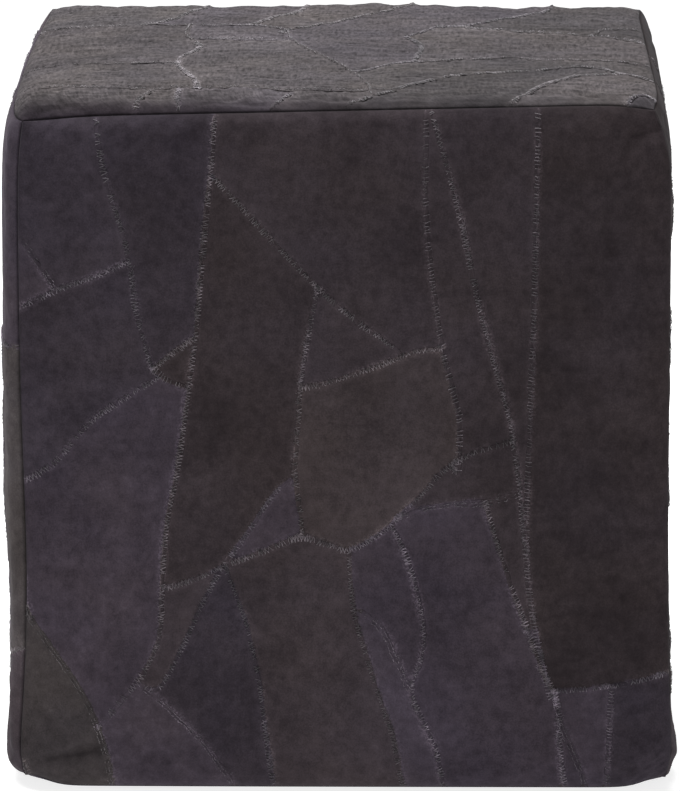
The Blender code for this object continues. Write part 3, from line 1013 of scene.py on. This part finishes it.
def suedeMaterial():
    material, tree, shader = newMaterial("charcoal suede", suede["finish"])
    place = addNode(tree, "TexCoord", {}, "Object")
    # the panels' tone: dye with painted light and painted shade
    toneAndPaintedLight = attribute(tree, "toneAndPaintedLight", "Color")
    layers = [noisy(tree, place, *suede[layer]) for layer in ("clouds", "brushing", "nap")]
    light = times(tree, *layers, streaks(tree))
    drift = mixed(tree, noisy(tree, place, *suede["drift"]), suede["warmDrift"], suede["coolDrift"])
    colour = addNode(tree, "VectorMath", {0: toneAndPaintedLight, 1: drift}, operation="MULTIPLY")
    colour = shaded(tree, colour, light)
    # where it is worn, pale tufts of the nap stand up
    scuffed = times(tree, attribute(tree, "worn"), noisy(tree, place, *suede["tufts"]))
    colour = mixed(tree, scuffed, colour, shaded(tree, toneAndPaintedLight, suede["wornBrightness"]))
    tree.links.new(colour, shader.inputs["Base Color"])
    grain = times(tree, noisy(tree, place, *suede["grain"]), suede["grainShare"])
    height = plus(tree, grain, noisy(tree, place, *suede["wrinkle"]))
    bump = addNode(tree, "Bump", {**suede["bump"], "Height": height})
    tree.links.new(bump, shader.inputs["Normal"])
    return material


thread = dict(
    colour=(0.168, 0.151, 0.175, 1),
    dyed=3.3,  # a thread that has taken up the dye is this much paler than its offcut
    dyedShare=0.6,
    pale=(0.0, 1.0, 0.35, 1.30),  # from how worn its seam is to how bright it is
    # noise, given as for the suede
    stitch=(340, 2, 0.5, 0.35, 0.68, 0.30, 1.45),
    twist=(1800, 2, 0.5, 0.3, 0.7, 0.75, 1.25),
    finish={"Roughness": 0.8, "Sheen Weight": 0.2},
    radius=0.24 * mm,
    pitch=2.3 * mm,
    width=(1.60, 0.60),  # how wide the stitches are, and how much that drifts
    missing=0.12,  # the share of stitches that are worn away
    missingDull=0.35,  # and how many more where the seam is dull
    hairs=2600,  # frayed fibres on a metre of the palest seams
    hairRadius=0.08 * mm,
    hairSize=(0.3, 1.1),  # of each half of a fibre, in millimetres
    hairOffset=(0.2, 0.55),  # over the seam, and how much that strays
    tuftSpacing=24 * mm,
    tuftSpread=1.6 * mm,
    tangleSpread=2.0 * mm,
    tangleHairs=44,
    tanglePale=1.1,
    tangleReach=4.0,  # in millimetres
    stray=0.22,  # how far the points of a stitch stray, in millimetres
    seed=41,
)


def threadMaterial():
    # dull where its seam has kept its colour, and paler stitch by stitch where it is worn
    material, tree, shader = newMaterial("sewing thread", thread["finish"])
    place = addNode(tree, "TexCoord", {}, "Object")
    stitch, twist = (noisy(tree, place, *thread[layer]) for layer in ("stitch", "twist"))
    pale = spread(tree, attribute(tree, "worn"), *thread["pale"])
    dyed = shaded(tree, attribute(tree, "toneAndPaintedLight", "Color"), thread["dyed"])
    base = mixed(tree, thread["dyedShare"], thread["colour"], dyed)
    colour = shaded(tree, base, times(tree, pale, times(tree, stitch, twist)))
    tree.links.new(colour, shader.inputs["Base Color"])
    return material


# lapped edges, stitches and fibres along the seams

lap = dict(
    # offset over the seam and height over the suede, in millimetres, round one lapped edge
    section=((-2.5, -0.25), (-1.6, 0.20), (-0.4, 0.40), (0.35, 0.46), (0.65, 0.20), (0.60, -0.40)),
    loose=(3, 4),  # which of these waver in full
    firm=0.4,  # how much the others do
    rawFrom=0.05,  # from this offset on, the lapped suede is raw and pale
    rawReach=0.25,
    rubbed=0.10,  # how pale it is before that
    waver=0.40 * mm,
    lift=(0.75, 0.40),  # how high the edge stands, and how much that drifts
    spacing=1.7 * mm,
    steepest=0.25,  # a seam runs on only where the suede faces out at least this much
    fewest=6,  # points that make a seam worth sewing
    dyedFrom=5.0,  # how far aside the lapped offcut's dye, with its painted light, is looked up
)


def seatLine(line, name, tree, spacing):
    # the line's places on the panel, with the way out, along and aside at each
    out, acrossWay, upWay = facing[name]
    runs, places, normals = [], [], []
    for number, (across, up) in enumerate(evenly(line, spacing)):
        start = middle + across * acrossWay + up * upWay + 0.3 * out
        hit, normal = tree.ray_cast(Vector(start), Vector(-out))[:2]
        if hit is not None and normal.dot(Vector(out)) > lap["steepest"]:
            runs.append(number * spacing)
            places.append(hit)
            normals.append(normal)
    if len(places) < lap["fewest"]:
        return None
    places, normals = np.array(places), np.array(normals)
    for _ in range(2):
        normals[1:-1] = (normals[:-2] + normals[1:-1] + normals[2:]) / 3
        places[1:-1] = (places[:-2] + 2 * places[1:-1] + places[2:]) / 4
    normals, along = unit(normals), unit(np.gradient(places, axis=0))
    return dict(run=np.array(runs), places=places, out=normals, aside=unit(np.cross(normals, along)))


def unit(ways):
    return ways / np.linalg.norm(ways, axis=1)[:, None]


def seatSeams(panel, tree):
    # every seam of a panel on its surface, with how pale and wide it is and its offcuts' dye with
    # their painted light
    name = panel["name"]
    acrossWay, upWay = facing[name][1:]
    seats = []
    for number, (row, line) in enumerate(zip(panel["seamRows"], panel["lines"])):
        seat = seatLine(line, name, tree, lap["spacing"])
        if not seat:
            continue
        run = seat["run"]
        beside = seat["places"] - seat["aside"] * row["lap"] * lap["dyedFrom"] * mm - middle
        offcut = offcutAt(panel["offcuts"], beside @ acrossWay, beside @ upWay)
        width, drift = thread["width"]
        wide = width + drift * noiseField(run / (26 * mm), run * 0 + number * 2.9, thread["seed"])
        pale = row["shine"] * fading(run, number)
        flat = (seat["places"] - middle) / mm
        knots = []
        for across, up in tangles.get(name, ()):
            away = np.hypot(flat @ acrossWay - across, flat @ upWay - up)
            pale = pale + thread["tanglePale"] * near(away, thread["tangleReach"])
            if away.min() < thread["tangleReach"]:
                knots.append(run[away.argmin()])
        seats.append(dict(seat, **row, wide=wide, pale=pale, knots=knots, toneAndPaintedLight=panel["tones"][offcut]))
    return seats


def makeLaps(name, seats, material):
    form = bmesh.new()
    sides = len(lap["section"])
    height, drift = lap["lift"]
    for number, seat in enumerate(seats):
        run = seat["run"]
        count = len(run)
        made = bmesh.ops.create_grid(form, x_segments=count - 1, y_segments=sides, size=1)["verts"]
        row = run * 0 + number * 4.3
        waver = noiseField(run / (4 * mm), row, 3) + noiseField(run / (17 * mm), row, 4)
        waver = lap["waver"] * waver
        lift = height + drift * noiseField(run / (12 * mm), row, 5)
        # the lapped edge tapers at its ends
        ends = np.minimum(1, np.minimum(np.arange(count), np.arange(count)[::-1]) / 2.0)
        for vertex in made:
            k = int(round((vertex.co.x + 1) / 2 * (count - 1)))
            step = int(round((vertex.co.y + 1) / 2 * sides)) % sides
            offset, rise = lap["section"][step]
            shift = offset * mm * seat["lap"] + waver[k] * (1 if step in lap["loose"] else lap["firm"])
            place = seat["places"][k] + seat["aside"][k] * shift * (0.35 + 0.65 * ends[k])
            vertex.co = place + seat["out"][k] * rise * mm * (lift[k] if rise > 0 else 1)
        bmesh.ops.remove_doubles(form, verts=made, dist=0.00001)
    bmesh.ops.holes_fill(form, edges=[e for e in form.edges if e.is_boundary], sides=0)
    bmesh.ops.recalc_face_normals(form, faces=form.faces[:])
    mesh = meshOf(form, name + "Laps")
    paint(mesh, seats, True)
    return finished(mesh, material)


def paint(mesh, seats, lapped):
    # each point is as its seam is there, but a lapped edge is pale only where it is raw
    spots, worn, toneAndPaintedLight = (np.concatenate([seat[key] for seat in seats])
                         for key in ("places", "pale", "toneAndPaintedLight"))
    tree = pointTree(spots)
    points = coordinates(mesh)
    nearest = np.array([tree.find(point)[1] for point in points])
    worn = worn[nearest]
    if lapped:
        ways = np.concatenate([seat["aside"] * seat["lap"] for seat in seats])
        offset = ((points - spots[nearest]) * ways[nearest]).sum(1) / mm
        raw = np.clip((offset - lap["rawFrom"]) / lap["rawReach"], 0, 1)
        worn = worn * (lap["rubbed"] + (1 - lap["rubbed"]) * raw)
    addAttribute(mesh, "worn", worn)
    addAttribute(mesh, "toneAndPaintedLight", toneAndPaintedLight[nearest])


def addThread(curve, points, radius):
    line = curve.splines.new("POLY")
    line.points.add(len(points) - 1)
    line.points.foreach_set("co", np.append(points, np.ones((len(points), 1)), 1).ravel())
    line.points.foreach_set("radius", np.full(len(points), radius))


def atSeam(seat, run, offset, height):
    # the place at a length along the seam, offset over it and height above the suede
    k = max(0, min(run / lap["spacing"], len(seat["places"]) - 1.001))
    low, share = int(k), k - int(k)
    place, aside, out = (seat[key][low] * (1 - share) + seat[key][low + 1] * share
                         for key in ("places", "aside", "out"))
    return place + aside * offset * seat["lap"] * mm + out * height * mm


def stitches(curve, seat, dice):
    pitch, stray = thread["pitch"], thread["stray"]
    length = (len(seat["places"]) - 1) * lap["spacing"]
    run = pitch * 0.5
    while run < length - pitch:
        step = pitch * dice.uniform(0.85, 1.15)
        here = int(run / lap["spacing"])
        wide = seat["wide"][here] * dice.uniform(0.85, 1.15)
        dull = max(0, 0.8 - seat["pale"][here])
        if dice.random() < thread["missing"] + thread["missingDull"] * dull:
            run += step
            continue
        # the heights of its feet and of its crown over the suede, in millimetres
        low, foot = 0.15, 0.25
        high = 0.42 + 2.4 * (thread["radius"] / mm) + dice.uniform(-0.1, 0.1)
        bent = dice.uniform(-0.12, 0.12) * step
        if seat["kind"] == "zigzag":
            routes = [((0, -1.35 * wide, foot), (0.28, -0.3, high), (0.5, 0.85 * wide, low),
                       (0.75, -0.3, high), (1, -1.35 * wide, foot))]
        elif seat["kind"] == "ladder":
            routes = [((0, -1.5 * wide, foot), (0.1, -0.3, high), (0.2, 0.95 * wide, low - 0.1))]
        else:
            offsets = (-1.7, -0.45) if seat["kind"] == "double" else (-0.9,)
            routes = [((0, offset * wide, foot), (0.35, offset * wide, high + 0.05),
                       (0.7, offset * wide, foot)) for offset in offsets]
        for route in routes:
            points = [atSeam(seat, run + bent + share * step + dice.gauss(0, stray) * mm,
                             offset + dice.gauss(0, stray), height)
                      for share, offset, height in route]
            addThread(curve, points, dice.uniform(0.7, 1.4))
        run += step


def fibres(curve, seat, dice):
    # frayed ends along the raw edge, half of them in tangles
    length = (len(seat["places"]) - 1) * lap["spacing"]
    tufts = [dice.uniform(0, length) for _ in range(1 + int(length / thread["tuftSpacing"]))]
    loose = int(length * thread["hairs"] * seat["shine"] ** 2)
    for number in range(loose + thread["tangleHairs"] * len(seat["knots"])):
        run = dice.uniform(0, length)
        if number >= loose:
            run = dice.choice(seat["knots"]) + dice.gauss(0, thread["tangleSpread"])
        elif dice.random() < 0.5:
            run = dice.choice(tufts) + dice.gauss(0, thread["tuftSpread"])
        elif dice.random() > seat["pale"][int(run / lap["spacing"])] + 0.25:
            continue
        run = min(length, max(0, run))
        offset = dice.gauss(*thread["hairOffset"])
        turn, size = dice.uniform(0, 2 * math.pi), dice.uniform(*thread["hairSize"])
        stray = dice.uniform(-1.2, 1.2)
        points = [atSeam(seat, run, offset, 0.25)]
        for far, way, low in ((1, turn, 0.45), (2, turn + stray, 0.15)):
            points.append(atSeam(seat, run + far * size * math.cos(way) * mm,
                                 offset + far * size * math.sin(way), dice.uniform(low, 0.9)))
        addThread(curve, points, thread["hairRadius"] / thread["radius"])


def makeThreads(name, seats, material):
    # a triangle is enough of a section for threads as thin as these
    section = bpy.data.curves.new("threadSection", "CURVE")
    corners = [(math.cos(turn) * thread["radius"], math.sin(turn) * thread["radius"], 0)
               for turn in (0, math.pi * 2 / 3, math.pi * 4 / 3)]
    addThread(section, corners, 1)
    section.splines[0].use_cyclic_u = True
    sectionGuide = bpy.data.objects.new("threadSection", section)
    curve = bpy.data.curves.new(name + "Stitches", "CURVE")
    curve.dimensions = "3D"
    curve.bevel_mode = "OBJECT"
    curve.bevel_object = sectionGuide
    curve.use_fill_caps = True
    dice = random.Random(thread["seed"] + len(name))
    for seat in seats:
        stitches(curve, seat, dice)
        fibres(curve, seat, dice)
    guide = addObject(name + "Guide", curve)
    mesh = bpy.data.meshes.new_from_object(guide.evaluated_get(bpy.context.evaluated_depsgraph_get()))
    mesh.name = name + "Stitches"
    bpy.data.objects.remove(guide)
    bpy.data.objects.remove(sectionGuide)
    paint(mesh, seats, False)
    return finished(mesh, material)


def dress(piece):
    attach(piece, "root")
    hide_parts("pouf")


suedeFinish, threadFinish = suedeMaterial(), threadMaterial()
for name in facing:
    panel = shapePanel(name, panelRows(cube, name))
    pieces = [makePanel(panel, suedeFinish)]
    dress(pieces[0])
    if panel["lines"]:
        seats = seatSeams(panel, surfaceTree(pieces[0].data))
        pieces.append(makeLaps(name, seats, suedeFinish))
        dress(pieces[1])
        pieces.append(makeThreads(name, seats, threadFinish))
        dress(pieces[2])
    total = sum(len(piece.data.loops) - 2 * len(piece.data.polygons) for piece in pieces)
    print("stage:", name, "made,", total, "triangles")
